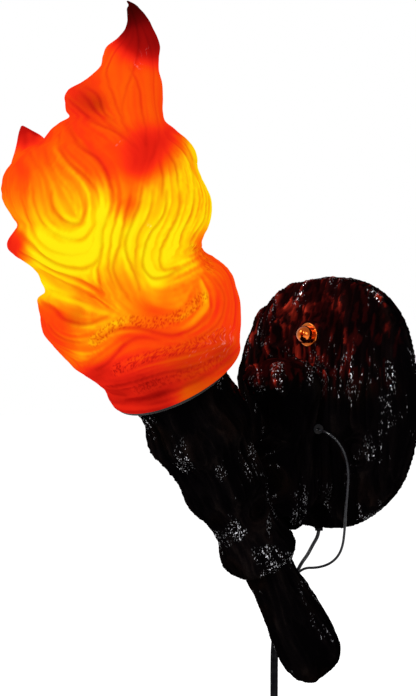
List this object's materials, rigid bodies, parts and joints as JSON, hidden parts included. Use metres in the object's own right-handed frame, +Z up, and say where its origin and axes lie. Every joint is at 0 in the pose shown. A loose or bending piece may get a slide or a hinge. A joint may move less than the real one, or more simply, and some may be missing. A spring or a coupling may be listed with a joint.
{
  "type": "torch sconce",
  "caption": "Wall sconce shaped as a leaning bark torch under a lift-off flame shade, on an oval carved wall plate, with a lamp holder, bulb and hanging plug-in cord.",
  "frame": {"origin": "on the wall, midway between the two outlet-box screws of the mounting strap", "axes": "+Z up, -Y out of the wall into the room, +X to the right as seen from the room"},
  "size_m": [0.196, 0.3329, 0.7209],
  "materials": {
    "flame_resin": "glossy translucent resin",
    "bark_resin": "glossy carved bark",
    "dark_steel": "satin black",
    "steel": "zinc plated",
    "gold_metal": "polished",
    "brass": "bright",
    "green_screw": "green plated",
    "phenolic": "black moulded",
    "bulb_glass": "clear",
    "filament": "phosphor strip",
    "cap_metal": "bright",
    "felt": "felt",
    "black_wire": "smooth",
    "cord_black": "satin",
    "tie": "woven strap"
  },
  "bodies": {
    "fixture": {"back_plate": "bark_resin", "mounting_strap": "steel", "ground_screw": "green_screw", "strap_stud": "steel", "stud_lock_nut": "steel", "nut_ring": "gold_metal", "arm": "bark_resin", "arm_bolts": "steel", "arm_washers": "steel", "arm_inserts": "brass", "arm_top_screw": "steel", "torch_body": "bark_resin", "handle": "bark_resin", "handle_screw": "steel", "gallery_pan": "dark_steel", "pan_screws": "steel", "socket_housing": "phenolic", "socket_ring": "phenolic", "socket_shell": "brass", "socket_contact": "brass", "shade_gasket": "felt", "socket_leads": "black_wire", "wire_splices": "dark_steel", "arm_grommet": "black_wire", "plate_grommet": "black_wire", "supply_wire_front": "black_wire", "supply_wire_rear": "black_wire", "cord_sleeve": "cord_black", "lamp_cord": "cord_black", "cord_coil": "cord_black", "cord_tie": "tie", "plug_tail": "cord_black", "plug_body": "cord_black", "plug_blades": "brass"},
    "shade": {"flame_shade": "flame_resin"},
    "bulb": {"bulb_cap": "cap_metal", "bulb_glass": "bulb_glass", "bulb_stem": "bulb_glass", "bulb_filaments": "filament"},
    "plate_nut": {"dome_nut": "gold_metal"}
  },
  "joints": [
    {"name": "shade_lift", "type": "slide", "parent": "fixture", "child": "shade", "axis": [0, -0.5592, 0.829], "range_m": [0, 0.15]},
    {"name": "bulb_turn", "type": "hinge", "parent": "fixture", "child": "bulb", "pos_m": [0, -0.1868, 0.025], "axis": [0, -0.5592, 0.829], "continuous": true},
    {"name": "nut_turn", "type": "hinge", "parent": "fixture", "child": "plate_nut", "pos_m": [0, -0.0335, 0.058], "axis": [0, -1, 0], "continuous": true}
  ]
}
